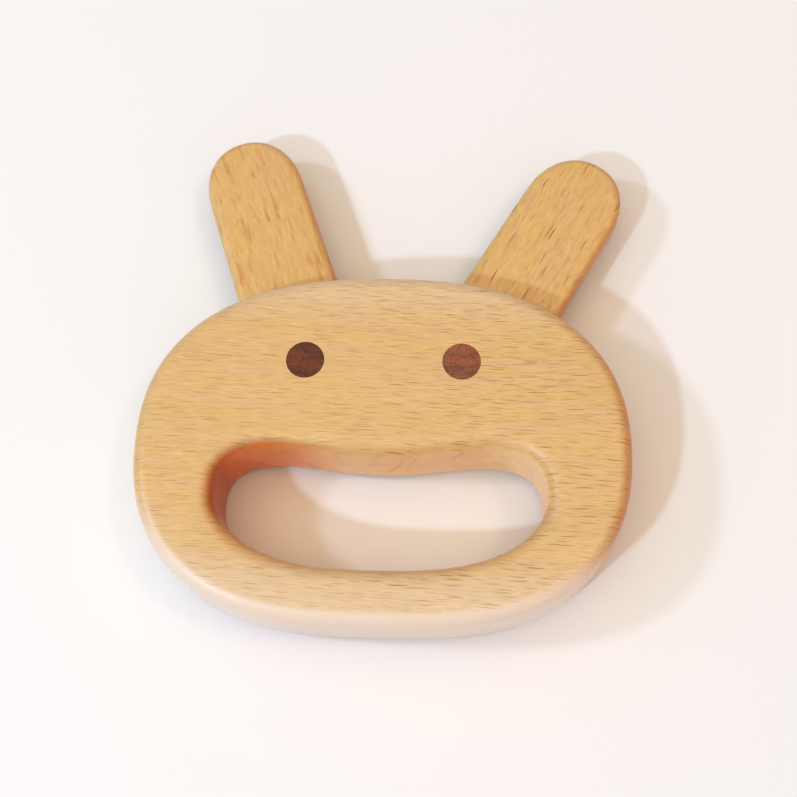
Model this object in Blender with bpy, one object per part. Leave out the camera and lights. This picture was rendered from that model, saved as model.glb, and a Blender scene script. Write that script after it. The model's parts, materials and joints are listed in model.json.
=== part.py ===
"""Rabbit-head teether of solid beech: a thick board with a smiling grip hole and two swinging ears on walnut pins.

Metres, +Z up. The toy lies on its back face. The origin is on that face, midway between the axes of the two ear pins.
+X runs from pin to pin and +Y points up the face, towards the ears.
"""

import math

import bmesh
import bpy
import numpy as np
from mathutils import Matrix, Vector

# Board and pin stock
BOARD = 0.0200
PIN_DIAMETER = 0.0078
PIN_SPACING = 0.0325
GAP = 0.0003

# Head outline: two half superellipses that meet at the widest level
HEAD_HALF_WIDTH = 0.0510
HEAD_WIDEST_Y = -0.0184
HEAD_RISE = 0.0381
HEAD_DROP = 0.0363
HEAD_RISE_POWERS = (2.43, 2.34)
HEAD_DROP_POWERS = (2.93, 2.23)
EDGE_ROUND = 0.0033

# Grip hole: the same kind of outline, with its top edge sagging into a smile
GRIP_HALF_WIDTH = 0.0337
GRIP_WIDEST_Y = -0.0289
GRIP_RISE = 0.0132
GRIP_DROP = 0.0144
GRIP_RISE_POWERS = (3.47, 2.96)
GRIP_DROP_POWERS = (2.77, 1.78)
GRIP_SAG = 0.0043

# Ears: thin boards, widest at the round root that turns on the pin
EAR_THICKNESS = 0.0060
EAR_LEVEL = 0.0085  # the middle of the ears' thickness, a little nearer to the back face
EAR_REACH = 0.0598
EAR_ROOT_WIDTH = 0.0226
EAR_TIP_WIDTH = 0.0216
EAR_TIP_LENGTH = 0.0134
EAR_TIP_POWER = 2.15
EAR_ROUND = 0.0019
LEFT_EAR_LEAN = math.radians(19.4)
RIGHT_EAR_LEAN = math.radians(30.4)
LEFT_HOLE_OFFSET = 0.0010
RIGHT_HOLE_OFFSET = 0.0
MOST_LEAN = math.radians(45)
SWING_CLEARANCE = 0.0005

# Fineness of the solids
HEAD_STEPS = 96
GRIP_STEPS = 72
ROUND_STEPS = 48
ARC_STEPS = 16
ROUND_SEGMENTS = 4


def empty_scene():
    for item in list(bpy.data.objects):
        bpy.data.objects.remove(item, do_unlink=True)


def wood(name, colour, roughness):
    material = bpy.data.materials.new(name)
    material.use_nodes = True
    shader = material.node_tree.nodes["Principled BSDF"]
    shader.inputs["Base Color"].default_value = (*colour, 1.0)
    shader.inputs["Roughness"].default_value = roughness
    shader.inputs["Metallic"].default_value = 0.0
    return material


def even_points(points, count):
    """Spread count points evenly along a closed outline."""
    closed = np.vstack([points, points[:1]])
    lengths = np.linalg.norm(np.diff(closed, axis=0), axis=1)
    along = np.concatenate([[0.0], np.cumsum(lengths)])
    wanted = np.linspace(0.0, along[-1], count, endpoint=False)
    return np.column_stack([np.interp(wanted, along, closed[:, axis]) for axis in (0, 1)])


def lobed_outline(half_width, widest_y, rise, rise_powers, drop, drop_powers, sag, count):
    """An upper and a lower half superellipse on one widest level; sag presses the middle of the top edge down."""
    turn = np.linspace(0.0, math.tau, 40 * count, endpoint=False)
    across, up = np.cos(turn), np.sin(turn)
    upper = up >= 0.0
    x_power = np.where(upper, rise_powers[0], drop_powers[0])
    y_power = np.where(upper, rise_powers[1], drop_powers[1])
    x = np.sign(across) * np.abs(across) ** (2.0 / x_power)
    y = np.sign(up) * np.abs(up) ** (2.0 / y_power) * np.where(upper, rise, drop)
    y -= np.where(upper, sag * (1.0 - x * x) ** 2, 0.0)
    return even_points(np.column_stack([x * half_width, y + widest_y]), count)


def prism(name, outline, low, high):
    """Extrude a closed outline, listed anticlockwise, from height low to height high."""
    mesh = bpy.data.meshes.new(name)
    body = bmesh.new()
    rim = [body.verts.new((x, y, low)) for x, y in outline]
    base = body.faces.new(rim)
    raised = bmesh.ops.extrude_face_region(body, geom=[base])["geom"]
    top = [item for item in raised if isinstance(item, bmesh.types.BMVert)]
    bmesh.ops.translate(body, vec=Vector((0.0, 0.0, high - low)), verts=top)
    bmesh.ops.recalc_face_normals(body, faces=body.faces)
    body.to_mesh(mesh)
    body.free()
    solid = bpy.data.objects.new(name, mesh)
    bpy.context.collection.objects.link(solid)
    return solid


def rod(name, x, y, radius, low, high):
    mesh = bpy.data.meshes.new(name)
    body = bmesh.new()
    place = Matrix.Translation((0.0, 0.0, (low + high) / 2))
    bmesh.ops.create_cone(body, cap_ends=True, segments=ROUND_STEPS, radius1=radius, radius2=radius,
                          depth=high - low, matrix=place)
    body.to_mesh(mesh)
    body.free()
    solid = bpy.data.objects.new(name, mesh)
    solid.location = (x, y, 0.0)
    bpy.context.collection.objects.link(solid)
    return solid


def hide_cutter(cutter):
    cutter.hide_render = True
    cutter.display_type = "WIRE"


def cut(solid, cutter):
    """Take the cutter's shape out of the solid."""
    hide_cutter(cutter)
    boolean = solid.modifiers.new("cut_" + cutter.name, "BOOLEAN")
    boolean.operation = "DIFFERENCE"
    boolean.solver = "EXACT"
    boolean.object = cutter


def round_edges(solid, radius):
    """Round over every sharp edge that the solid has so far."""
    bevel = solid.modifiers.new("round_over", "BEVEL")
    bevel.limit_method = "ANGLE"
    bevel.angle_limit = math.radians(50)
    bevel.width = radius
    bevel.segments = ROUND_SEGMENTS


def finish(solid, material):
    solid.data.materials.append(material)
    solid.data.shade_smooth()
    solid.data.set_sharp_from_angle(angle=math.radians(40))


def slot_outline(side):
    """The space one ear sweeps from upright to its furthest lean, seen from the front, round about its pin."""
    radius = EAR_ROOT_WIDTH / 2 + LEFT_HOLE_OFFSET + SWING_CLEARANCE
    reach = EAR_REACH
    pin = Vector((side * PIN_SPACING / 2, 0.0))
    upright = Vector((0.0, 1.0))
    leaning = Vector((side * math.sin(MOST_LEAN), math.cos(MOST_LEAN)))
    outward = Vector((side * math.cos(MOST_LEAN), -math.sin(MOST_LEAN)))
    inner_top = pin + Vector((-side * radius, 0.0)) + upright * reach
    outer_top = pin + outward * radius + leaning * reach
    start = math.pi
    sweep = math.pi - MOST_LEAN
    arc = []
    for step in range(ARC_STEPS + 1):
        turn = start + sweep * step / ARC_STEPS
        arc.append(pin + Vector((side * math.cos(turn), math.sin(turn))) * radius)
    outline = [inner_top, *arc, outer_top]
    return outline if side > 0 else list(reversed(outline))


def make_head(material):
    outline = lobed_outline(HEAD_HALF_WIDTH, HEAD_WIDEST_Y, HEAD_RISE, HEAD_RISE_POWERS,
                            HEAD_DROP, HEAD_DROP_POWERS, 0.0, HEAD_STEPS)
    head = prism("head", outline, 0.0, BOARD)
    grip = lobed_outline(GRIP_HALF_WIDTH, GRIP_WIDEST_Y, GRIP_RISE, GRIP_RISE_POWERS,
                         GRIP_DROP, GRIP_DROP_POWERS, GRIP_SAG, GRIP_STEPS)
    cut(head, prism("grip_cutter", grip, -BOARD, 2 * BOARD))
    round_edges(head, EDGE_ROUND)
    half_slot = EAR_THICKNESS / 2 + GAP
    hole_radius = PIN_DIAMETER / 2 + GAP
    for label, side in (("left", -1), ("right", 1)):
        slot = prism(label + "_slot_cutter", slot_outline(side), EAR_LEVEL - half_slot, EAR_LEVEL + half_slot)
        cut(head, slot)
        hole = rod(label + "_hole_cutter", side * PIN_SPACING / 2, 0.0, hole_radius, -BOARD, 2 * BOARD)
        cut(head, hole)
    finish(head, material)


def ear_outline(hole_offset):
    """One ear standing upright with its pin hole at the origin: round root, tapering sides, nearly round tip."""
    root = EAR_ROOT_WIDTH / 2
    tip = EAR_TIP_WIDTH / 2
    tip_start = EAR_REACH - EAR_TIP_LENGTH
    outline = []
    for step in range(ARC_STEPS + 1):
        turn = math.pi + math.pi * step / ARC_STEPS
        outline.append((root * math.cos(turn), root * math.sin(turn)))
    for step in range(2 * ARC_STEPS + 1):
        turn = math.pi * step / (2 * ARC_STEPS)
        across, up = math.cos(turn), math.sin(turn)
        x = math.copysign(abs(across) ** (2 / EAR_TIP_POWER), across) * tip
        outline.append((x, tip_start + abs(up) ** (2 / EAR_TIP_POWER) * EAR_TIP_LENGTH))
    return [(x + hole_offset, y) for x, y in outline]


def make_ear(name, side, lean, hole_offset, material):
    """An ear turns with its object's origin, which is on its pin's axis."""
    low = EAR_LEVEL - EAR_THICKNESS / 2
    ear = prism(name, ear_outline(hole_offset), low, low + EAR_THICKNESS)
    ear.location = (side * PIN_SPACING / 2, 0.0, 0.0)
    ear.rotation_euler = (0.0, 0.0, -side * lean)
    round_edges(ear, EAR_ROUND)
    hole_radius = PIN_DIAMETER / 2 + GAP
    cut(ear, rod(name + "_hole_cutter", side * PIN_SPACING / 2, 0.0, hole_radius, -BOARD, 2 * BOARD))
    finish(ear, material)


def make_pin(name, side, material):
    pin = rod(name, side * PIN_SPACING / 2, 0.0, PIN_DIAMETER / 2, 0.0, BOARD)
    finish(pin, material)


def main():
    empty_scene()
    beech = wood("head_beech", (0.74, 0.47, 0.25), 0.42)
    ear_beech = wood("ear_beech", (0.76, 0.50, 0.27), 0.42)
    walnut = wood("pin_walnut", (0.16, 0.055, 0.03), 0.45)
    make_head(beech)
    make_ear("ear_left", -1, LEFT_EAR_LEAN, LEFT_HOLE_OFFSET, ear_beech)
    make_ear("ear_right", 1, RIGHT_EAR_LEAN, RIGHT_HOLE_OFFSET, ear_beech)
    make_pin("ear_pin_left", -1, walnut)
    make_pin("ear_pin_right", 1, walnut)


main()
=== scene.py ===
"""Rabbit-head teether: shapes and finishes of a beech board, two swinging ears and their walnut pins."""

import json
import math

import bmesh
import bpy
from bpy.props import FloatProperty, FloatVectorProperty, PointerProperty
from mathutils import Matrix, Vector


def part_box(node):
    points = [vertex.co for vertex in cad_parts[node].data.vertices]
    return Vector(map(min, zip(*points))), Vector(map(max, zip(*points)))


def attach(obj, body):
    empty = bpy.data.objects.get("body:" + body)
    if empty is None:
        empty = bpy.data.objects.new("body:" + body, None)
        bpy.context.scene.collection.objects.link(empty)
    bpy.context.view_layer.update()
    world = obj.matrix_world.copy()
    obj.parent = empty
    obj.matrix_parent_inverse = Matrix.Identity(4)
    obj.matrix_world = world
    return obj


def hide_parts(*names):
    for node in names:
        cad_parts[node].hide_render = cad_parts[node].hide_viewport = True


bl_info = {
    "name": "Rabbit Teether",
    "version": (1, 0, 0),
    "blender": (4, 5, 0),
    "location": "3D View > Sidebar > Teether",
    "description": "Adds a rabbit-head teether of beech with swinging ears on walnut pins",
    "category": "Add Mesh",
}

MILLIMETRES = 1000.0
TINY = 1e-6
CREASE = math.radians(40.0)
SLOT_CORNER = math.radians(50.0)

# How finely the shapes are made: columns round a board and rows in each quarter round, points of an
# outline, steps of a turned piece and steps of a slot's round end.
HEAD_GRID = (440, 10)
EAR_GRID = (300, 9)
OUTLINE_POINTS = 2880
TURNED_STEPS = 96
SWEEP_STEPS = 64

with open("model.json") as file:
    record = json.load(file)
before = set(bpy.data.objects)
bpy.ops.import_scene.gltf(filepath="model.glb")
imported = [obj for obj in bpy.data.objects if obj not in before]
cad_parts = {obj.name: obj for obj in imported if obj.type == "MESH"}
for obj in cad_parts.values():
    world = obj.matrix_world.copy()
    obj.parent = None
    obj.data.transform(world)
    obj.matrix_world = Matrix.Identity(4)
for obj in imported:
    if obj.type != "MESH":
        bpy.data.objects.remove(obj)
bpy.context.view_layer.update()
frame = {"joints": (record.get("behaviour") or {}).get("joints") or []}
HEAD_LOW, HEAD_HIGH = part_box("head")
BOARD = HEAD_HIGH.z - HEAD_LOW.z
JOINTS = {joint["child"]: joint for joint in frame["joints"]}
SIDES = {"left": -1, "right": 1}

# Finish of each board, with painted light and shade. Places and sizes are in millimetres along, across
# and through the grain. A layer of flecks is its cell, a fleck's half sizes, the share of cells that hold
# one and its strength. pale, stain, streak, fibre and mottle are the strengths of those patterns; pale also
# sets the painted light on the walls and the painted reflection on the low edge. Walls that face away from
# the lamps get painted shade: the first colour on walls and the second on their rounded edges, past the
# spans given along and across the grain.
EVERYWHERE = (-99.0, -98.0)
BEECH_LOOKS = {
    "head": {
        "seed": 4.0, "grain_turn": math.radians(-2.0),
        "flecks": (((6.8, 0.80, 70.0), (3.3, 0.13, 55.0), 0.90, 1.0),
                   ((4.4, 0.56, 60.0), (2.1, 0.10, 50.0), 0.90, 0.55)),
        "pale": 1.0, "stain": 0.10, "streak": 0.28, "fibre": 0.24, "mottle": 0.06,
        # Painted shade colours on walls and edges that face away from the lamps, and the spans where it
        # comes in.
        "painted_shade": (0.87, 0.38, 0.16), "painted_edge_shade": (0.78, 0.50, 0.36),
        "painted_shade_left": (2.0, 24.0), "painted_shade_above": (-45.0, -40.0),
    },
    "left": {
        "seed": 11.0,
        "flecks": (((7.0, 2.4, 70.0), (1.8, 0.22, 55.0), 0.40, 0.65),
                   ((3.4, 0.9, 60.0), (1.1, 0.15, 50.0), 0.5, 0.35)),
        "pale": 0.0, "stain": 0.85, "streak": 0.24, "fibre": 0.24, "mottle": 0.26,
        # Painted shade colours on walls and edges that face away from the lamps, everywhere on the ear.
        "painted_shade": (0.95, 0.68, 0.52), "painted_edge_shade": (0.92, 0.72, 0.56),
        "painted_shade_left": EVERYWHERE, "painted_shade_above": EVERYWHERE,
    },
    "right": {
        "seed": 29.0,
        "flecks": (((7.4, 2.1, 70.0), (2.7, 0.24, 55.0), 0.65, 0.95),
                   ((3.8, 1.0, 60.0), (1.3, 0.16, 50.0), 0.6, 0.40)),
        "pale": 0.0, "stain": 0.35, "streak": 0.24, "fibre": 0.26, "mottle": 0.30,
        # Painted shade colours on walls and edges that face away from the lamps, everywhere on the ear.
        "painted_shade": (0.95, 0.68, 0.52), "painted_edge_shade": (0.92, 0.72, 0.56),
        "painted_shade_left": EVERYWHERE, "painted_shade_above": EVERYWHERE,
    },
}
WALNUT_LOOKS = {
    "left": {"seed": 49.0, "grain_turn": -0.12, "banding": 0.7},
    "right": {"seed": 51.0, "grain_turn": 0.12, "banding": 0.5},
}

# Noise patterns of both woods: typical sizes in millimetres along, across and through the grain, what is
# added to the wood's seed, detail and roughness.
PATTERNS = {
    "wander": ((70.0, 16.0, 30.0), 0.0, 1.0, 0.5),
    "swing": ((16.0, 3.0, 9.0), 7.0, 0.0, 0.5),
    "ring": ((130.0, 3.2, 2.6), 3.0, 3.0, 0.55),
    "patch": ((22.0, 2.6, 7.0), 11.0, 2.0, 0.5),
    "streak": ((7.0, 0.50, 0.8), 5.0, 2.0, 0.6),
    "fibre": ((2.6, 0.24, 0.35), 9.0, 1.0, 0.5),
    "mottle": ((2.6, 1.2, 1.6), 13.0, 2.0, 0.6),
    "stain": ((8.0, 1.3, 3.0), 17.0, 2.0, 0.5),
    "walnut_warp": ((3.0, 3.0, 9.0), 0.0, 2.0, 0.5),
    "walnut_band": ((11.0, 1.3, 40.0), 2.0, 3.0, 0.6),
    "walnut_grain": ((0.34, 0.34, 5.0), 4.0, 2.0, 0.5),
    "walnut_ray": ((0.2, 6.0, 30.0), 8.0, 1.0, 0.5),
}
FLECK_SEED_STEP = 31.0
PORE_CELL = (0.55, 0.55, 30.0)
PORE_SEED = 6.0
PORE_CHANCE = 0.65
# How far the beech's grain wanders and swings off its line, and the walnut's bands warp, in millimetres.
WANDER = 4.0
SWING = 0.3
WARP = 1.4
# The span of a pattern over which its tint comes in, and the most of the tint that is taken.
PATCH_SPAN = (0.40, 0.64)
RING_SPAN = (0.55, 0.80)
RING_SHARE = 0.5
STAIN_SPAN = (0.56, 0.72)
BAND_SPAN = (0.35, 0.62)
PORE_SPAN = (0.15, 0.42)
PORE_SHARE = 0.7
# How much a pattern lightens and darkens the wood.
RING_TONE = 0.16
WALNUT_GRAIN_TONE = 1.3
WALNUT_RAY_TONE = 0.5
# Depth of the beech's and the walnut's relief in metres.
BEECH_RELIEF = 0.00006
WALNUT_RELIEF = 0.00005

# Tints are shares of a wood's base colour. Washes are shares of whatever colour lies under them.
BEECH_TINTS = {
    "plain": (1.0, 1.0, 0.95), "patch": (1.005, 0.985, 1.10), "ring": (0.97, 0.90, 0.76),
    "pale": (1.03, 1.12, 1.50), "stain": (0.86, 0.66, 0.42), "fleck": (0.56, 0.36, 0.17),
    # The low edge's tint is a painted reflection of the bright floor and lamps.
    "painted_low_reflection": (1.14, 1.40, 2.55),
}
# End grain: partly beech's own darker end grain, partly painted shade on the end away from the lamps.
END_GRAIN_AND_SHADE_WASH = (0.86, 0.62, 0.46)
# Painted light on walls that face the front.
PAINTED_FRONT_LIGHT = (1.45, 1.47, 1.42)
# Painted light on walls that face the lamps on the left.
PAINTED_LAMP_LIGHT = (1.0, 1.10, 1.35)
WALNUT_TINTS = {"dark": (0.80, 0.82, 1.0), "light": (1.10, 1.06, 0.98), "pore": (0.36, 0.28, 0.30)}

# The side that a wash is on, and how squarely a wall faces it where the wash starts and where it is full.
# The end grain wash, partly painted shade, takes a quarter of its strength on the end that faces the lamps.
# The front and bright sides face the lamps and get painted light; the other side faces away and gets
# painted shade.
END_GRAIN_SPAN = (0.15, 0.95)
FAR_END_SHARE = 0.25
FRONT_SIDE = ((-0.4, -0.92, 0.0), -0.10, 0.45)
PAINTED_SHADE_SIDE = ((0.75, -0.65, 0.0), 0.05, 0.45)
BRIGHT_SIDE = ((-0.8, -0.6, 0.0), 0.5, 0.95)
# How level a surface is where it stops to be wholly a wall, or an edge, and where it is a face.
WALL_SPAN = (0.10, 0.80)
EDGE_SPAN = (0.45, 0.97)

# Levels in millimetres across the grain. The face is paler above and below, and the painted reflection of
# the bright floor and lamps on the low edge comes in from so far down.
PALE_ABOVE = (4.0, 19.0)
PALE_BELOW = (-48.0, -40.0)
LOW_REFLECTION_SPAN = (27.0, 44.0)
LOW_REFLECTION_SHARE = 0.9
# Places in millimetres along the grain: flecks get stronger to the right, and a faint painted shade on walls
# that face away from the lamps ends there.
FLECK_SPAN = (-15.0, 35.0)
FLECK_RANGE = (0.75, 1.1)
WALL_FLECKS = 0.3
FAINT_PAINTED_SHADE_END = (20.0, 26.0)
FAINT_PAINTED_SHADE = 0.16

# The surroundings: the way from their bright to their dim side and the way to their low front, each with
# the span over which the colour changes, and the same span for how high overhead.
SKY_TURN = (0.87, -0.5, 0.0)
SKY_TURN_SPAN = (-0.5, 0.5)
SKY_FRONT = (0.3, -0.95, 0.0)
SKY_FRONT_SPAN = (0.2, 0.9)
SKY_TOP_SPAN = (0.65, 0.95)
# The way to each lamp, and its diameter.
LAMPS = {
    "key": ((-0.72, -0.74, 1.0), 0.07),
    "side": ((-1.11, 0.0, 1.0), 0.12),
    "right": ((0.50, 0.0, 1.0), 0.12),
}
FLOOR_HALF_SIZE = 4.0
FLOOR_DROP = 0.0001
SENSOR_WIDTH = 36.0
CLIP = (0.01, 20.0)


# -------------------------------------------------------------------------------------------------------
# Node graphs
# -------------------------------------------------------------------------------------------------------


class Wire:
    """A node's output that Python's operators turn into Math nodes."""

    def __init__(self, graph, socket):
        self.graph = graph
        self.socket = socket

    def of(self, name):
        """Another output of the same node."""
        return Wire(self.graph, self.socket.node.outputs[name])

    def __add__(self, other):
        return self.graph.math("ADD", self, other)

    def __radd__(self, other):
        return self.graph.math("ADD", other, self)

    def __sub__(self, other):
        return self.graph.math("SUBTRACT", self, other)

    def __rsub__(self, other):
        return self.graph.math("SUBTRACT", other, self)

    def __mul__(self, other):
        return self.graph.math("MULTIPLY", self, other)

    def __rmul__(self, other):
        return self.graph.math("MULTIPLY", other, self)

    def __truediv__(self, other):
        return self.graph.math("DIVIDE", self, other)

    def __rtruediv__(self, other):
        return self.graph.math("DIVIDE", other, self)

    def __pow__(self, other):
        return self.graph.math("POWER", self, other)

    def __neg__(self):
        return self.graph.math("MULTIPLY", self, -1.0)

    def __abs__(self):
        return self.graph.math("ABSOLUTE", self)

    def __gt__(self, other):
        return self.graph.math("GREATER_THAN", self, other)

    def __lt__(self, other):
        return self.graph.math("LESS_THAN", self, other)

    def floor(self):
        return self.graph.math("FLOOR", self)

    def sign(self):
        return self.graph.math("SIGN", self)


class Graph:
    """A node tree that is written as expressions."""

    def __init__(self, tree):
        self.tree = tree

    def add(self, kind, sockets=None, output=0, **settings):
        """Add a node: its settings first, then the values or links of its sockets."""
        node = self.tree.nodes.new(kind)
        for name, value in settings.items():
            setattr(node, name, value)
        for name, value in (sockets or {}).items():
            if isinstance(value, Wire):
                self.tree.links.new(value.socket, node.inputs[name])
            else:
                node.inputs[name].default_value = value
        return Wire(self, node.outputs[output]) if node.outputs else node

    def math(self, operation, *values):
        return self.add("ShaderNodeMath", dict(enumerate(values)), operation=operation)

    def vector(self, operation, *values, output=0):
        return self.add("ShaderNodeVectorMath", dict(enumerate(values)), operation=operation, output=output)

    def parts(self, vector):
        split = self.add("ShaderNodeSeparateXYZ", {0: vector})
        return split, split.of("Y"), split.of("Z")

    def point(self, x, y, z):
        return self.add("ShaderNodeCombineXYZ", {"X": x, "Y": y, "Z": z})

    def blend(self, share, low, high):
        """A number that goes from low to high as share goes from 0 to 1."""
        return low + (high - low) * share

    def mix(self, share, first, second, blend_type="MIX"):
        """Mix two colours."""
        sockets = {0: share, 6: first, 7: second}
        return self.add("ShaderNodeMix", sockets, output=2, data_type="RGBA", blend_type=blend_type)

    def ramp(self, value, low, high):
        """0 below low, 1 above high, and smooth between them."""
        sockets = {"Value": value, "From Min": low, "From Max": high}
        return self.add("ShaderNodeMapRange", sockets, interpolation_type="SMOOTHSTEP")

    def noise(self, place, detail, roughness):
        sockets = {"Vector": place, "Scale": 1.0, "Detail": detail, "Roughness": roughness}
        return self.add("ShaderNodeTexNoise", sockets)


# -------------------------------------------------------------------------------------------------------
# Settings
# -------------------------------------------------------------------------------------------------------


def a_length(name, description, default):
    return FloatProperty(name=name, description=description, default=default, min=0.0, precision=5,
                         subtype="DISTANCE", unit="LENGTH")


def a_power(name, description, default):
    return FloatProperty(name=name, description=description, default=default, min=1.0, max=8.0)


def a_colour(name, description, default):
    return FloatVectorProperty(name=name, description=description, default=default, size=3, min=0.0, max=1.0,
                               subtype="COLOR")


def a_strength(name, description, default):
    return FloatProperty(name=name, description=description, default=default, min=0.0)


def a_place(name, description, default):
    return FloatVectorProperty(name=name, description=description, default=default, size=3, precision=5,
                               subtype="TRANSLATION", unit="LENGTH")


class HeadSettings(bpy.types.PropertyGroup):
    """The board: two half superellipses outside, and a smiling grip hole of the same kind inside."""

    widest_y: FloatProperty(name="Widest Level", description="Level where the head is widest",
                            default=-0.0184, precision=5, unit="LENGTH")
    rise_across: a_power("Rise Power Across", "Sideways squareness of the forehead", 2.43)
    rise_up: a_power("Rise Power Up", "Upward squareness of the forehead", 2.34)
    drop_across: a_power("Drop Power Across", "Sideways squareness of the jaw", 2.93)
    drop_up: a_power("Drop Power Up", "Upward squareness of the jaw", 2.23)
    edge_round: a_length("Edge Round", "Radius of the rounded outer edges", 0.0033)
    grip_half_width: a_length("Grip Half Width", "Half the width of the grip hole", 0.0337)
    grip_level: FloatProperty(name="Grip Level", description="Level where the grip hole is widest",
                              default=-0.0289, precision=5, unit="LENGTH")
    grip_rise: a_length("Grip Rise", "Height of the grip hole above its widest level", 0.0132)
    grip_drop: a_length("Grip Drop", "Depth of the grip hole below its widest level", 0.0144)
    grip_rise_across: a_power("Grip Rise Power Across", "Sideways squareness of the upper lip", 3.47)
    grip_rise_up: a_power("Grip Rise Power Up", "Upward squareness of the upper lip", 2.96)
    grip_drop_across: a_power("Grip Drop Power Across", "Sideways squareness of the lower lip", 2.77)
    grip_drop_up: a_power("Grip Drop Power Up", "Upward squareness of the lower lip", 1.78)
    grip_sag: a_length("Grip Sag", "How far the middle of the upper lip is pressed down", 0.0043)
    grip_round: a_length("Grip Round", "Radius of the rounded edges of the grip hole", 0.0033)
    slot_ease: a_length("Slot Ease", "Size of the eased edges of the ear slots", 0.00025)
    slot_clearance: a_length("Slot Clearance", "Room above and below an ear in its slot", 0.0003)
    swing_clearance: a_length("Swing Clearance", "Room beside an ear in its slot", 0.0005)


class EarSettings(bpy.types.PropertyGroup):
    """The ears: thin boards with a round root, tapering sides and a nearly round tip."""

    reach: a_length("Reach", "From the pin's axis to the tip", 0.0598)
    root_width: a_length("Root Width", "Width at the pin", 0.0226)
    tip_width: a_length("Tip Width", "Width where the tip starts", 0.0216)
    tip_length: a_length("Tip Length", "Length of the rounded tip", 0.0134)
    tip_power: a_power("Tip Power", "Squareness of the tip", 2.15)
    edge_round: a_length("Edge Round", "Radius of the rounded edges", 0.0020)
    left_offset: a_length("Left Hole Offset", "How far the left ear's hole is off its middle line", 0.0010)
    hole_round: a_length("Hole Round", "Radius of the eased rim of the pin hole", 0.0003)
    hole_clearance: a_length("Hole Clearance", "Radial room round the pin", 0.00025)


class PinSettings(bpy.types.PropertyGroup):
    """The pins: walnut dowels sanded flush with both faces."""

    radius: a_length("Radius", "Radius of a pin", 0.00396)
    rim: a_length("Rim", "Eased rim of a pin's ends", 0.00005)
    fit: a_length("Fit", "Hairline between a pin and the head", 0.00002)


class WoodSettings(bpy.types.PropertyGroup):
    """Colours of the finishes."""

    head_beech: a_colour("Head Beech", "Oiled beech of the head", (0.648, 0.402, 0.178))
    ear_beech: a_colour("Ear Beech", "Oiled beech of the ears", (0.635, 0.378, 0.146))
    left_walnut: a_colour("Left Walnut", "End grain of the left pin", (0.140, 0.033, 0.014))
    right_walnut: a_colour("Right Walnut", "End grain of the right pin", (0.262, 0.080, 0.036))


class StageSettings(bpy.types.PropertyGroup):
    """The floor, lamps and camera."""

    floor: a_colour("Floor", "Colour of the floor", (0.790, 0.728, 0.727))
    sky_left: a_colour("Left Surround", "Colour of the surroundings on the left", (0.56, 0.82, 1.0))
    sky_left_strength: a_strength("Left Surround Strength", "Brightness on the left", 0.66)
    sky_right: a_colour("Right Surround", "Colour of the surroundings on the right", (1.0, 0.52, 0.44))
    sky_right_strength: a_strength("Right Surround Strength", "Brightness on the right", 0.60)
    sky_top: a_colour("Top Surround", "Colour of the surroundings overhead", (1.0, 0.92, 0.63))
    sky_top_strength: a_strength("Top Surround Strength", "Brightness overhead", 1.62)
    sky_front: a_colour("Front Surround", "Colour of the surroundings low in front", (0.80, 0.86, 1.0))
    sky_front_strength: a_strength("Front Surround Strength", "Brightness low in front", 0.85)
    contrast: a_strength("Contrast", "Power that deepens the darker tones of the picture", 1.15)
    key_power: a_strength("Key Power", "Power of the lamp in front on the left, in watts", 5.7)
    key_tint: a_colour("Key Tint", "Colour of the lamp in front on the left", (0.52, 0.77, 1.0))
    side_power: a_strength("Side Power", "Power of the lamp on the left, in watts", 4.0)
    side_tint: a_colour("Side Tint", "Colour of the lamp on the left", (0.60, 0.73, 1.0))
    right_power: a_strength("Right Power", "Power of the lamp on the right, in watts", 0.9)
    right_tint: a_colour("Right Tint", "Colour of the lamp on the right", (1.0, 0.85, 0.6))
    lamp_distance: a_length("Lamp Distance", "From the middle of the board to every lamp", 1.2)
    eye: a_place("Camera Place", "Where the camera stands", (0.014827, -0.089099, 0.255445))
    target: a_place("Camera Target", "Where the camera points", (0.002440, -0.001401, 0.0))
    roll: FloatProperty(name="Camera Roll", description="Turn of the camera about its own axis",
                        default=math.radians(1.66), subtype="ANGLE", unit="ROTATION")
    focal: FloatProperty(name="Focal Length", description="Focal length of the camera in millimetres",
                         default=54.94, min=1.0)


# -------------------------------------------------------------------------------------------------------
# Geometry trees
# -------------------------------------------------------------------------------------------------------

OUTLINE_SIZES = ("Half Width", "Upper Half Width", "Rise", "Drop", "Rise Across", "Rise Up", "Drop Across",
                 "Drop Up", "Sag", "Straight", "Centre X", "Centre Y")


def new_tree(name, sizes, counts=(), materials=()):
    """A geometry tree with named inputs and one geometry output."""
    tree = bpy.data.node_groups.new(name, "GeometryNodeTree")
    groups = ((sizes, "NodeSocketFloat"), (counts, "NodeSocketInt"), (materials, "NodeSocketMaterial"))
    for names, kind in groups:
        for label in names:
            tree.interface.new_socket(name=label, in_out="INPUT", socket_type=kind)
    tree.interface.new_socket(name="Geometry", in_out="OUTPUT", socket_type="NodeSocketGeometry")
    return tree


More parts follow.
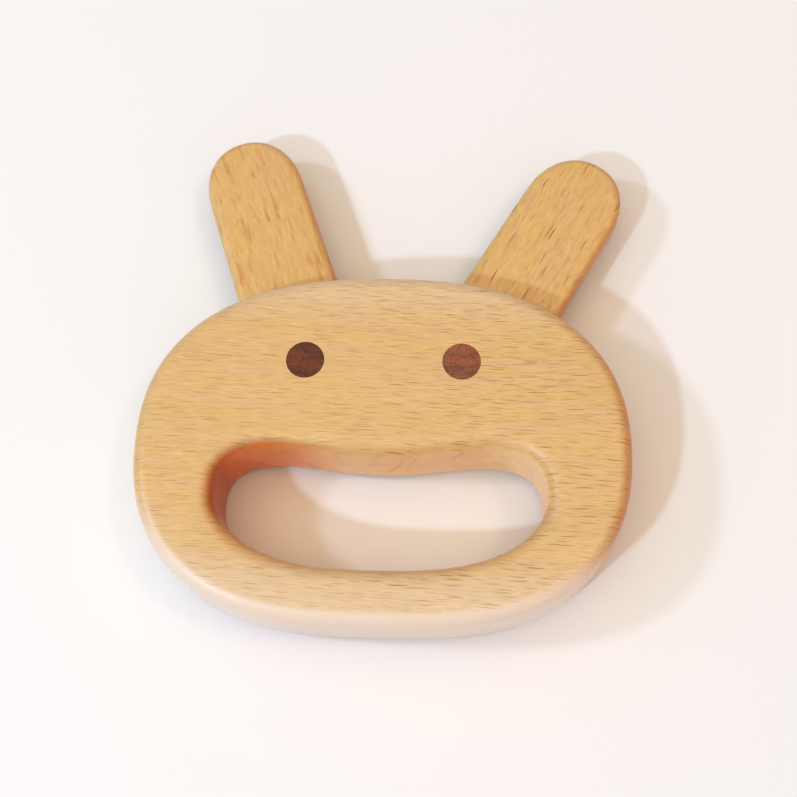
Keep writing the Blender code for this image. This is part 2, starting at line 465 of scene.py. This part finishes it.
def outline_tree():
    """A closed curve of two half superellipses: a unit circle whose points are moved by the rule."""
    tree = new_tree("lobed_outline", OUTLINE_SIZES, counts=("Points",))
    graph = Graph(tree)
    given = graph.add("NodeGroupInput")
    circle = graph.add("GeometryNodeCurvePrimitiveCircle", {"Resolution": given.of("Points"), "Radius": 1.0})
    across, up, _ = graph.parts(graph.add("GeometryNodeInputPosition"))
    upper = up > -TINY
    x_power = graph.blend(upper, given.of("Drop Across"), given.of("Rise Across"))
    y_power = graph.blend(upper, given.of("Drop Up"), given.of("Rise Up"))
    x = across.sign() * abs(across) ** (2.0 / x_power)
    y = up.sign() * abs(up) ** (2.0 / y_power) * graph.blend(upper, given.of("Drop"), given.of("Rise"))
    sag = upper * given.of("Sag") * (1.0 - x * x) ** 2.0
    y = y - sag + upper * given.of("Straight") + given.of("Centre Y")
    x = x * graph.blend(upper, given.of("Half Width"), given.of("Upper Half Width")) + given.of("Centre X")
    moved = graph.add("GeometryNodeSetPosition", {"Geometry": circle, "Position": graph.point(x, y, 0.0)})
    graph.add("NodeGroupOutput", {"Geometry": moved})
    return tree


def board_tree(outline):
    """A board between an outer rim and one opening, with every edge a quarter round.

    A grid is wrapped into a closed ring. Its columns go round the rim and the opening, and its rows go
    round the section: up the outer edge, over the face, down the opening's wall and back under the board.
    Facing is 1 where the opening is a circle about the origin, and its columns lie on straight lines from
    the origin to the rim's.
    """
    sizes = [part + " " + size for part in ("Rim", "Opening") for size in OUTLINE_SIZES]
    sizes += ["Thickness", "Base", "Rim Round", "Opening Round", "Facing"]
    tree = new_tree("rounded_board", sizes, counts=("Around", "Quarter"), materials=("Wood",))
    graph = Graph(tree)
    given = graph.add("NodeGroupInput")
    around = given.of("Around")
    quarter = given.of("Quarter")
    rows = quarter * 4 + 1
    grid = graph.add("GeometryNodeMeshGrid", {"Vertices X": around + 1, "Vertices Y": rows})
    index = graph.add("GeometryNodeInputIndex")
    column = (index / rows).floor()
    row = index - column * rows
    row = row - (row > quarter * 4 - 0.5) * quarter * 4
    corner = (row / quarter).floor()
    turn = (corner + (row - corner * quarter) / (quarter - 1)) * (math.pi / 2)
    out = graph.math("COSINE", turn)
    up = graph.math("SINE", turn)
    on_rim = abs(corner - 1.5) > 1.0
    on_top = corner < 1.5
    places = []
    share = column / around
    for part in ("Rim", "Opening"):
        sockets = {size: given.of(part + " " + size) for size in OUTLINE_SIZES}
        sockets["Points"] = OUTLINE_POINTS
        curve = graph.add("GeometryNodeGroup", sockets, node_tree=outline)
        sample = graph.add("GeometryNodeSampleCurve", {"Curves": curve, "Factor": share}, mode="FACTOR")
        x, y, _ = graph.parts(sample.of("Position"))
        along_x, along_y, _ = graph.parts(sample.of("Tangent"))
        angle = graph.math("ARCTAN2", y, x) / math.tau
        share = graph.blend(given.of("Facing"), share, angle - angle.floor())
        inset = (out - 1.0) if part == "Rim" else (out + 1.0)
        inset = inset * given.of(part + " Round")
        places.append((x + along_y * inset, y - along_x * inset))
    x = graph.blend(on_rim, places[1][0], places[0][0])
    y = graph.blend(on_rim, places[1][1], places[0][1])
    radius = graph.blend(on_rim, given.of("Opening Round"), given.of("Rim Round"))
    centre = graph.blend(on_top, radius, given.of("Thickness") - radius)
    z = given.of("Base") + centre + radius * up
    moved = graph.add("GeometryNodeSetPosition", {"Geometry": grid, "Position": graph.point(x, y, z)})
    closed = graph.add("GeometryNodeMergeByDistance", {"Geometry": moved, "Distance": TINY})
    real = graph.add("GeometryNodeRealizeInstances", {"Geometry": closed})
    finished = graph.add("GeometryNodeSetMaterial", {"Geometry": real, "Material": given.of("Wood")})
    graph.add("NodeGroupOutput", {"Geometry": finished})
    return tree


def grown(name, tree, values):
    """Run a geometry tree with these inputs and keep the result as a plain mesh object."""
    mesh = bpy.data.meshes.new(name + "_seed")
    seed = bpy.data.objects.new(name + "_seed", mesh)
    bpy.context.scene.collection.objects.link(seed)
    modifier = seed.modifiers.new("grow", "NODES")
    modifier.node_group = tree
    for item in tree.interface.items_tree:
        if item.in_out == "INPUT" and item.name in values:
            modifier[item.identifier] = values[item.name]
    return made_of(baked(name, seed), values["Wood"])


def baked(name, source):
    """The evaluated shape of an object as a new object with a plain mesh; the source goes."""
    graph = bpy.context.evaluated_depsgraph_get()
    mesh = bpy.data.meshes.new_from_object(source.evaluated_get(graph), depsgraph=graph)
    bpy.data.objects.remove(source)
    mesh.name = name
    piece = bpy.data.objects.new(name, mesh)
    bpy.context.scene.collection.objects.link(piece)
    return piece


def made_of(piece, material):
    """Leave a piece one material slot, so that every face has this material."""
    piece.data.materials.clear()
    piece.data.materials.append(material)
    return piece


def board_values(rim, opening, thickness, base, rounds, counts, material):
    """Inputs of the board tree from two outlines, each a dict without its part's name."""
    values = {}
    for part, sizes in (("Rim", rim), ("Opening", opening)):
        for size in OUTLINE_SIZES:
            values[part + " " + size] = float(sizes.get(size, 0.0))
    values["Thickness"], values["Base"] = thickness, base
    values["Rim Round"], values["Opening Round"] = rounds
    values["Around"], values["Quarter"] = counts
    values["Wood"] = material
    return values


def circle_outline(radius, centre=(0.0, 0.0)):
    sizes = dict.fromkeys(("Half Width", "Upper Half Width", "Rise", "Drop"), radius)
    sizes.update(dict.fromkeys(("Rise Across", "Rise Up", "Drop Across", "Drop Up"), 2.0))
    sizes["Centre X"], sizes["Centre Y"] = centre
    return sizes


# -------------------------------------------------------------------------------------------------------
# Mesh helpers
# -------------------------------------------------------------------------------------------------------


def link_mesh(name, shape):
    """Turn a bmesh into a linked object."""
    mesh = bpy.data.meshes.new(name)
    shape.to_mesh(mesh)
    shape.free()
    piece = bpy.data.objects.new(name, mesh)
    bpy.context.scene.collection.objects.link(piece)
    return piece


def prism(name, outline, low, high):
    """A closed outline extruded from height low to height high."""
    shape = bmesh.new()
    base = shape.faces.new([shape.verts.new((x, y, low)) for x, y in outline])
    raised = bmesh.ops.extrude_face_region(shape, geom=[base])["geom"]
    top = [item for item in raised if isinstance(item, bmesh.types.BMVert)]
    bmesh.ops.translate(shape, vec=Vector((0.0, 0.0, high - low)), verts=top)
    bmesh.ops.recalc_face_normals(shape, faces=shape.faces)
    return link_mesh(name, shape)


def turned(name, profile):
    """Turn a profile of (radius, height) points about Z; it starts and ends on the axis."""
    shape = bmesh.new()
    chain = [shape.verts.new((radius, 0.0, height)) for radius, height in profile]
    edges = [shape.edges.new(pair) for pair in zip(chain, chain[1:])]
    bmesh.ops.spin(shape, geom=chain + edges, cent=(0, 0, 0), axis=(0, 0, 1), angle=math.tau,
                   steps=TURNED_STEPS)
    bmesh.ops.remove_doubles(shape, verts=shape.verts, dist=TINY)
    bmesh.ops.recalc_face_normals(shape, faces=shape.faces)
    return link_mesh(name, shape)


def cut_away(piece, cutters, material):
    """Take every cutter's shape out of the piece and remove the cutters. Every face gets the material."""
    for cutter in cutters:
        boolean = piece.modifiers.new("cut", "BOOLEAN")
        boolean.operation = "DIFFERENCE"
        boolean.solver = "EXACT"
        boolean.object = cutter
    name = piece.name
    result = baked(name, piece)
    for cutter in cutters:
        bpy.data.objects.remove(cutter)
    result.name = name
    return made_of(result, material)


def ease_edges(piece, low, high, size, spared, room):
    """Bevel the sharp outward edges between two heights, but not those near the spared places."""
    shape = bmesh.new()
    shape.from_mesh(piece.data)
    chosen = []
    for edge in shape.edges:
        heights = [vertex.co.z for vertex in edge.verts]
        outside = min(heights) < low - TINY or max(heights) > high + TINY
        if outside or not edge.is_manifold or not edge.is_convex:
            continue
        middle = (edge.verts[0].co + edge.verts[1].co).to_2d() / 2
        near = any((middle - place).length < room for place in spared)
        if edge.calc_face_angle() > SLOT_CORNER and not near:
            chosen.append(edge)
    bmesh.ops.bevel(shape, geom=chosen, offset=size, segments=2, profile=0.5, affect="EDGES",
                    clamp_overlap=False)
    shape.to_mesh(piece.data)
    shape.free()


def finish_piece(piece, body, slot, *nodes):
    """Shade a finished piece and hand it to the frame."""
    piece.data.shade_smooth()
    piece.data.set_sharp_from_angle(angle=CREASE)
    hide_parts(*nodes)
    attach(piece, body)


# -------------------------------------------------------------------------------------------------------
# Wood
# -------------------------------------------------------------------------------------------------------


def new_material(name):
    material = bpy.data.materials.new(name)
    material.use_nodes = True
    material.node_tree.nodes.clear()
    return material, Graph(material.node_tree)


def wood_place(graph, centre, turn):
    """Object coordinates in millimetres, with X along the grain, and the way that the surface faces."""
    coordinates = graph.add("ShaderNodeTexCoord", output="Object")
    mapping = {"Vector": coordinates, "Location": centre, "Rotation": (0.0, 0.0, turn)}
    mapped = graph.add("ShaderNodeMapping", mapping, vector_type="TEXTURE")
    place = graph.add("ShaderNodeVectorMath", {0: mapped, "Scale": MILLIMETRES}, operation="SCALE")
    return place, coordinates.of("Normal")


def facing(graph, normal, side, low, high):
    """How squarely a surface faces a side, from 0 at low to 1 at high."""
    return graph.ramp(graph.vector("DOT_PRODUCT", normal, side, output="Value"), low, high)


def steep(graph, normal, low, high):
    """1 on upright walls and 0 on level faces."""
    _, _, upness = graph.parts(normal)
    return 1.0 - graph.ramp(abs(upness), low, high)


def stretched(graph, place, along, across, through, shift=0.0):
    """Divide the wood coordinates by a pattern's typical sizes in millimetres."""
    sizes = (1.0 / along, 1.0 / across, 1.0 / through)
    moved = graph.vector("ADD", place, (shift, 2.3 * shift, 1.7 * shift))
    return graph.vector("MULTIPLY", moved, sizes)


def pattern(graph, place, seed, name):
    """One of the noise patterns, from 0 to 1 and mostly near a half."""
    sizes, shift, detail, roughness = PATTERNS[name]
    return graph.noise(stretched(graph, place, *sizes, shift=seed + shift), detail, roughness)


def rays(graph, place, cell, half, share, shift):
    """Dark spindles along the grain, the cut ends of the wood's rays. share is how many cells hold one."""
    scaled = stretched(graph, place, *cell, shift=shift)
    cells = graph.add("ShaderNodeTexVoronoi", {"Vector": scaled, "Scale": 1.0, "Randomness": 1.0},
                      voronoi_dimensions="3D", feature="F1")
    off = graph.vector("SUBTRACT", scaled, cells.of("Position"))
    off = graph.vector("MULTIPLY", off, tuple(size / radius for size, radius in zip(cell, half)))
    chance, strength, thinness = graph.parts(cells.of("Color"))
    reach = graph.vector("LENGTH", off, output="Value") / (0.6 + 0.4 * thinness)
    return (1.0 - graph.ramp(reach, 0.50, 1.0)) * (chance < share) * (0.35 + 0.65 * strength)


def flecks(graph, place, seed, layers):
    """Every layer of ray flecks as one mask."""
    mask = None
    for index, (cell, half, share, strength) in enumerate(layers):
        layer = rays(graph, place, cell, half, share, seed + FLECK_SEED_STEP * index) * strength
        mask = layer if mask is None else graph.math("MAXIMUM", mask, layer)
    return mask


def shade(graph, colour, tone):
    """A colour made lighter or darker by a number round 1."""
    return graph.mix(1.0, colour, graph.point(tone, tone, tone), "MULTIPLY")


def washed(graph, share, colour, wash):
    """A share of a wash over a colour. The wash is three numbers or a colour's wire."""
    if not isinstance(wash, Wire):
        wash = (*wash, 1.0)
    return graph.mix(share, colour, graph.mix(1.0, colour, wash, "MULTIPLY"))


def tinted(base, tint):
    """A base colour times a tint, as a socket's four numbers."""
    return (*(part * share for part, share in zip(base, tint)), 1.0)


def painted_light_and_end_grain(graph, colour, base, place, normal, turn, look):
    """Beech is darker and redder on end grain, partly its own colour and partly painted shade. The walls get
    painted light on the side of the lamps, painted shade on the other side and a painted reflection low in
    front.
    """
    along, across, _ = graph.parts(place)
    grain = (math.cos(turn), math.sin(turn), 0.0)
    against = (-grain[0], -grain[1], 0.0)
    # End grain darkening: partly the wood's own, partly painted shade on the end away from the lamps.
    near_end = facing(graph, normal, grain, *END_GRAIN_SPAN)
    far_end = facing(graph, normal, against, *END_GRAIN_SPAN) * FAR_END_SHARE
    wall = steep(graph, normal, *WALL_SPAN)
    front = facing(graph, normal, *FRONT_SIDE)
    colour = washed(graph, graph.math("MAXIMUM", near_end, far_end), colour, END_GRAIN_AND_SHADE_WASH)
    # Painted light on walls that face the front and the lamps.
    colour = washed(graph, front * wall * look["pale"], colour, PAINTED_FRONT_LIGHT)
    colour = washed(graph, facing(graph, normal, *BRIGHT_SIDE) * wall * look["pale"], colour, PAINTED_LAMP_LIGHT)

    # Painted shade, darker and redder, on walls and rounded edges that face away from the lamps.
    faint = (1.0 - graph.ramp(along, *FAINT_PAINTED_SHADE_END)) * FAINT_PAINTED_SHADE
    left = graph.math("MAXIMUM", graph.ramp(-along, *look["painted_shade_left"]), faint)
    painted_shade = facing(graph, normal, *PAINTED_SHADE_SIDE) * steep(graph, normal, *EDGE_SPAN)
    painted_shade = painted_shade * left * graph.ramp(across, *look["painted_shade_above"])
    colour = washed(graph, painted_shade, colour, graph.mix(wall, (*look["painted_edge_shade"], 1.0), (*look["painted_shade"], 1.0)))

    # Painted reflection of the bright floor and lamps on the low front edge.
    painted_low_reflection = front * graph.ramp(-across, *LOW_REFLECTION_SPAN) * look["pale"] * LOW_REFLECTION_SHARE
    return graph.mix(painted_low_reflection, colour, tinted(base, BEECH_TINTS["painted_low_reflection"]))


def beech(name, base, centre, turn, look):
    """Oiled beech: growth tones, fine fibres, soft stains and short dark ray flecks, with painted light and
    shade.
    """
    material, graph = new_material(name)
    seed = look["seed"]
    tints = {part: tinted(base, tint) for part, tint in BEECH_TINTS.items()}
    place, normal = wood_place(graph, centre, turn)
    along, across, through = graph.parts(place)

    wander = pattern(graph, place, seed, "wander")
    swing = pattern(graph, place, seed, "swing")
    drift = (wander - 0.5) * WANDER + (swing - 0.5) * SWING
    wavy = graph.point(along, across + drift, through)
    ring, patch, streak, fibre, mottle, stain = (
        pattern(graph, wavy, seed, part) for part in ("ring", "patch", "streak", "fibre", "mottle", "stain"))
    fleck = flecks(graph, wavy, seed, look["flecks"])
    fleck = fleck * graph.blend(steep(graph, normal, *WALL_SPAN), 1.0, WALL_FLECKS)
    fleck = fleck * graph.blend(graph.ramp(along, *FLECK_SPAN), *FLECK_RANGE)

    colour = graph.mix(graph.ramp(patch, *PATCH_SPAN), tints["plain"], tints["patch"])
    colour = graph.mix(graph.ramp(ring, *RING_SPAN) * RING_SHARE, colour, tints["ring"])
    pale = graph.math("MAXIMUM", graph.ramp(across, *PALE_ABOVE), 1.0 - graph.ramp(across, *PALE_BELOW))
    colour = graph.mix(pale * look["pale"], colour, tints["pale"])
    colour = graph.mix(graph.ramp(stain, *STAIN_SPAN) * look["stain"], colour, tints["stain"])
    tone = (1.0 + (ring - 0.5) * RING_TONE + (streak - 0.5) * look["streak"] + (fibre - 0.5) * look["fibre"]
            + (mottle - 0.5) * look["mottle"])
    colour = graph.mix(fleck, shade(graph, colour, tone), tints["fleck"])
    colour = painted_light_and_end_grain(graph, colour, base, place, normal, turn, look)

    height = (fibre - 0.5) * 0.5 + (streak - 0.5) * 0.4 - fleck * 0.8
    bump = graph.add("ShaderNodeBump", {"Strength": 0.25, "Distance": BEECH_RELIEF, "Height": height})
    roughness = 0.41 + (streak - 0.5) * 0.15 + fleck * 0.15
    sockets = {"Base Color": colour, "Roughness": roughness, "Normal": bump, "Specular IOR Level": 0.5,
               "Sheen Weight": 0.2, "Sheen Roughness": 0.4}
    shader = graph.add("ShaderNodeBsdfPrincipled", sockets)
    graph.add("ShaderNodeOutputMaterial", {"Surface": shader})
    return material


def walnut(name, base, centre, look):
    """End grain of walnut: growth bands, open pores and pale rays across the bands."""
    material, graph = new_material(name)
    seed = look["seed"]
    tints = {part: tinted(base, tint) for part, tint in WALNUT_TINTS.items()}
    place, _ = wood_place(graph, centre, look["grain_turn"])
    x, y, z = graph.parts(place)
    bent = graph.point(x, y + (pattern(graph, place, seed, "walnut_warp") - 0.5) * WARP, z)
    band = pattern(graph, bent, seed, "walnut_band")
    grain = pattern(graph, place, seed, "walnut_grain")
    ray = pattern(graph, place, seed, "walnut_ray")
    scaled = stretched(graph, place, *PORE_CELL, shift=seed + PORE_SEED)
    cells = graph.add("ShaderNodeTexVoronoi", {"Vector": scaled, "Scale": 1.0}, voronoi_dimensions="3D",
                      feature="F1")
    chance, _, _ = graph.parts(cells.of("Color"))
    pore = (1.0 - graph.ramp(cells.of("Distance"), *PORE_SPAN)) * (chance < PORE_CHANCE)
    tone = (1.0 + (band - 0.5) * look["banding"] + (grain - 0.5) * WALNUT_GRAIN_TONE
            + (ray - 0.5) * WALNUT_RAY_TONE)
    colour = graph.mix(graph.ramp(band, *BAND_SPAN), tints["dark"], tints["light"])
    colour = graph.mix(pore * PORE_SHARE, shade(graph, colour, tone), tints["pore"])
    height = (grain - 0.5) * 0.3 - pore
    bump = graph.add("ShaderNodeBump", {"Strength": 0.25, "Distance": WALNUT_RELIEF, "Height": height})
    roughness = 0.45 + pore * 0.2
    sockets = {"Base Color": colour, "Roughness": roughness, "Normal": bump, "Specular IOR Level": 0.4}
    shader = graph.add("ShaderNodeBsdfPrincipled", sockets)
    graph.add("ShaderNodeOutputMaterial", {"Surface": shader})
    return material


# -------------------------------------------------------------------------------------------------------
# Operators
# -------------------------------------------------------------------------------------------------------


def pin_place(label):
    """Axis of one ear pin, from the joint that it carries."""
    return Vector(JOINTS["ear_" + label]["pos_m"]).to_2d()


def ear_lean(label):
    """An ear's lean from upright at rest: its joint's lower limit is upright."""
    return -math.radians(JOINTS["ear_" + label]["range_deg"][0])


def most_lean(label):
    """An ear's lean from upright at its joint's upper limit."""
    return ear_lean(label) + math.radians(JOINTS["ear_" + label]["range_deg"][1])


def slot_outline(label, radius, reach):
    """The space that one ear sweeps, from upright to its furthest lean."""
    side = SIDES[label]
    pin = pin_place(label)
    lean = most_lean(label)
    leaning = Vector((side * math.sin(lean), math.cos(lean)))
    outward = Vector((side * math.cos(lean), -math.sin(lean)))
    points = [pin + Vector((-side * radius, reach))]
    for step in range(SWEEP_STEPS + 1):
        turn = math.pi + (math.pi - lean) * step / SWEEP_STEPS
        points.append(pin + Vector((side * math.cos(turn), math.sin(turn))) * radius)
    points.append(pin + outward * radius + leaning * reach)
    return points if side > 0 else points[::-1]


class TEETHER_OT_head(bpy.types.Operator):
    """Make the head: a rounded board with a grip hole, two ear slots and two pin holes"""

    bl_idname = "teether.head"
    bl_label = "Head"

    def execute(self, context):
        head = context.scene.teether_head
        ears = context.scene.teether_ears
        pins = context.scene.teether_pins
        base = tuple(context.scene.teether_wood.head_beech)
        rim = {
            "Half Width": HEAD_HIGH.x, "Upper Half Width": HEAD_HIGH.x, "Centre Y": head.widest_y,
            "Rise": HEAD_HIGH.y - head.widest_y, "Drop": head.widest_y - HEAD_LOW.y,
            "Rise Across": head.rise_across, "Rise Up": head.rise_up,
            "Drop Across": head.drop_across, "Drop Up": head.drop_up,
        }
        grip = {
            "Half Width": head.grip_half_width, "Upper Half Width": head.grip_half_width,
            "Centre Y": head.grip_level, "Sag": head.grip_sag,
            "Rise": head.grip_rise, "Drop": head.grip_drop,
            "Rise Across": head.grip_rise_across, "Rise Up": head.grip_rise_up,
            "Drop Across": head.grip_drop_across, "Drop Up": head.grip_drop_up,
        }
        look = BEECH_LOOKS["head"]
        material = beech("head_beech", base, (0.0, 0.0, 0.0), look["grain_turn"], look)
        rounds = (head.edge_round, head.grip_round)
        values = board_values(rim, grip, BOARD, HEAD_LOW.z, rounds, HEAD_GRID, material)
        piece = grown("head_board", board_tree(outline_tree()), values)
        ear_low, ear_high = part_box("ear_left")
        low = ear_low.z - head.slot_clearance
        high = ear_high.z + head.slot_clearance
        radius = ears.root_width / 2 + ears.left_offset + head.swing_clearance
        cutters = []
        for label in SIDES:
            cutters.append(prism(label + "_slot", slot_outline(label, radius, ears.reach), low, high))
            bore = pins.radius + pins.fit
            hole = turned(label + "_hole", [(0, -BOARD), (bore, -BOARD), (bore, 2 * BOARD), (0, 2 * BOARD)])
            hole.data.transform(Matrix.Translation(pin_place(label).to_3d()))
            cutters.append(hole)
        piece = cut_away(piece, cutters, material)
        pin_places = [pin_place(label) for label in SIDES]
        ease_edges(piece, low, high, head.slot_ease, pin_places, ears.root_width / 4)
        finish_piece(piece, "head", "head_beech", "head")
        return {"FINISHED"}


class TEETHER_OT_ears(bpy.types.Operator):
    """Make both ears: thin rounded boards that turn on their pins"""

    bl_idname = "teether.ears"
    bl_label = "Ears"

    def execute(self, context):
        ears = context.scene.teether_ears
        pins = context.scene.teether_pins
        base = tuple(context.scene.teether_wood.ear_beech)
        tree = board_tree(outline_tree())
        for label, side in SIDES.items():
            node = "ear_" + label
            low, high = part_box(node)
            offset = ears.left_offset if side < 0 else 0.0
            rim = {
                "Half Width": ears.root_width / 2, "Upper Half Width": ears.tip_width / 2,
                "Centre X": offset, "Straight": ears.reach - ears.tip_length,
                "Rise": ears.tip_length, "Drop": ears.root_width / 2,
                "Rise Across": ears.tip_power, "Rise Up": ears.tip_power, "Drop Across": 2.0, "Drop Up": 2.0,
            }
            hole = circle_outline(pins.radius + ears.hole_clearance)
            lean = ear_lean(label)
            pin = pin_place(label).to_3d()
            grain_turn = math.pi / 2 - side * lean
            material = beech(node + "_beech", base, tuple(pin), grain_turn, BEECH_LOOKS[label])
            rounds = (ears.edge_round, ears.hole_round)
            values = board_values(rim, hole, high.z - low.z, low.z, rounds, EAR_GRID, material)
            values["Facing"] = 1.0
            piece = grown("ear_board_" + label, tree, values)
            piece.data.transform(Matrix.Translation(pin) @ Matrix.Rotation(-side * lean, 4, "Z"))
            finish_piece(piece, node, "ear_beech", node)
        return {"FINISHED"}


class TEETHER_OT_pins(bpy.types.Operator):
    """Make both pins: walnut dowels sanded flush"""

    bl_idname = "teether.pins"
    bl_label = "Pins"

    def execute(self, context):
        pins = context.scene.teether_pins
        woods = context.scene.teether_wood
        bases = {"left": tuple(woods.left_walnut), "right": tuple(woods.right_walnut)}
        for label in SIDES:
            node = "ear_pin_" + label
            low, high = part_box(node)
            rim = pins.rim
            radius = pins.radius
            profile = [(0.0, low.z), (radius - rim, low.z), (radius, low.z + rim), (radius, high.z - rim),
                       (radius - rim, high.z), (0.0, high.z)]
            piece = turned("pin_" + label, profile)
            pin = pin_place(label).to_3d()
            piece.data.transform(Matrix.Translation(pin))
            made_of(piece, walnut(node + "_walnut", bases[label], tuple(pin), WALNUT_LOOKS[label]))
            finish_piece(piece, "head", "pin_walnut", node)
        return {"FINISHED"}


def area_light(name, toward, distance, size, power_watts, tint, aim):
    """A round lamp at a distance along the direction toward it, turned to its aim."""
    data = bpy.data.lights.new(name, "AREA")
    data.shape = "DISK"
    data.size = size
    data.energy = power_watts
    data.color = tint
    lamp = bpy.data.objects.new(name, data)
    direction = Vector(toward).normalized()
    lamp.location = aim + direction * distance
    lamp.rotation_euler = (-direction).to_track_quat("-Z", "Y").to_euler()
    bpy.context.scene.collection.objects.link(lamp)


def lit(tint, brightness):
    """A light's colour times its brightness, as a socket's four numbers."""
    return (*(part * brightness for part in tint), 1.0)


class TEETHER_OT_stage(bpy.types.Operator):
    """Make the pale floor, the soft lights and the camera"""

    bl_idname = "teether.stage"
    bl_label = "Stage"

    def execute(self, context):
        stage = context.scene.teether_stage
        scene = context.scene
        shape = bmesh.new()
        bmesh.ops.create_grid(shape, x_segments=1, y_segments=1, size=FLOOR_HALF_SIZE)
        floor = link_mesh("floor", shape)
        floor.location.z = -FLOOR_DROP
        material, graph = new_material("floor_paper")
        sockets = {"Base Color": (*stage.floor, 1.0), "Roughness": 0.9, "Specular IOR Level": 0.1}
        graph.add("ShaderNodeOutputMaterial", {"Surface": graph.add("ShaderNodeBsdfPrincipled", sockets)})
        floor.data.materials.append(material)

        world = bpy.data.worlds.new("surround")
        world.use_nodes = True
        world.node_tree.nodes.clear()
        graph = Graph(world.node_tree)
        direction = graph.add("ShaderNodeTexCoord", output="Generated")
        _, _, height = graph.parts(direction)
        rightward = graph.vector("DOT_PRODUCT", direction, SKY_TURN, output="Value")
        left = lit(stage.sky_left, stage.sky_left_strength)
        right = lit(stage.sky_right, stage.sky_right_strength)
        around = graph.mix(graph.ramp(rightward, *SKY_TURN_SPAN), left, right)
        forward = graph.vector("DOT_PRODUCT", direction, SKY_FRONT, output="Value")
        front = lit(stage.sky_front, stage.sky_front_strength)
        around = graph.mix(graph.ramp(forward, *SKY_FRONT_SPAN), around, front)
        top = lit(stage.sky_top, stage.sky_top_strength)
        sky = graph.mix(graph.ramp(height, *SKY_TOP_SPAN), around, top)
        graph.add("ShaderNodeOutputWorld", {"Surface": graph.add("ShaderNodeBackground", {"Color": sky})})
        scene.world = world

        aim = Vector((0.0, 0.0, BOARD / 2))
        for name, (toward, size) in LAMPS.items():
            watts = getattr(stage, name + "_power")
            tint = getattr(stage, name + "_tint")
            area_light(name + "_lamp", toward, stage.lamp_distance, size, watts, tint, aim)

        data = bpy.data.cameras.new("camera")
        data.sensor_width = SENSOR_WIDTH
        data.lens = stage.focal
        data.clip_start, data.clip_end = CLIP
        camera = bpy.data.objects.new("camera", data)
        scene.collection.objects.link(camera)
        eye = Vector(stage.eye)
        forward = (Vector(stage.target) - eye).normalized()
        right = forward.cross(Vector((0.0, 1.0, 0.0))).normalized()
        up = right.cross(forward)
        turned_right = right * math.cos(stage.roll) + up * math.sin(stage.roll)
        turned_up = up * math.cos(stage.roll) - right * math.sin(stage.roll)
        matrix = Matrix((turned_right, turned_up, -forward)).transposed().to_4x4()
        matrix.translation = eye
        camera.matrix_world = matrix
        scene.camera = camera
        scene.view_settings.view_transform = "Standard"
        scene.view_settings.gamma = 1.0 / stage.contrast
        return {"FINISHED"}


class TEETHER_PT_panel(bpy.types.Panel):
    """Buttons and sizes of the teether"""

    bl_idname = "TEETHER_PT_panel"
    bl_label = "Rabbit Teether"
    bl_space_type = "VIEW_3D"
    bl_region_type = "UI"
    bl_category = "Teether"

    def draw(self, context):
        for operator, settings in SECTIONS:
            box = self.layout.box()
            box.operator(operator.bl_idname)
            group = getattr(context.scene, settings)
            for name in group.bl_rna.properties.keys():
                if name not in ("rna_type", "name"):
                    box.prop(group, name)


SETTINGS = {
    "teether_head": HeadSettings,
    "teether_ears": EarSettings,
    "teether_pins": PinSettings,
    "teether_wood": WoodSettings,
    "teether_stage": StageSettings,
}
SECTIONS = (
    (TEETHER_OT_stage, "teether_stage"),
    (TEETHER_OT_head, "teether_head"),
    (TEETHER_OT_ears, "teether_ears"),
    (TEETHER_OT_pins, "teether_pins"),
)


def register():
    for name, settings in SETTINGS.items():
        bpy.utils.register_class(settings)
        setattr(bpy.types.Scene, name, PointerProperty(type=settings))
    for operator, _ in SECTIONS:
        bpy.utils.register_class(operator)
    bpy.utils.register_class(TEETHER_PT_panel)


def unregister():
    bpy.utils.unregister_class(TEETHER_PT_panel)
    for operator, _ in reversed(SECTIONS):
        bpy.utils.unregister_class(operator)
    for name, settings in reversed(SETTINGS.items()):
        delattr(bpy.types.Scene, name)
        bpy.utils.unregister_class(settings)


def main():
    register()
    bpy.ops.teether.stage()
    bpy.ops.teether.head()
    bpy.ops.teether.ears()
    bpy.ops.teether.pins()


if __name__ == "__main__":
    main()
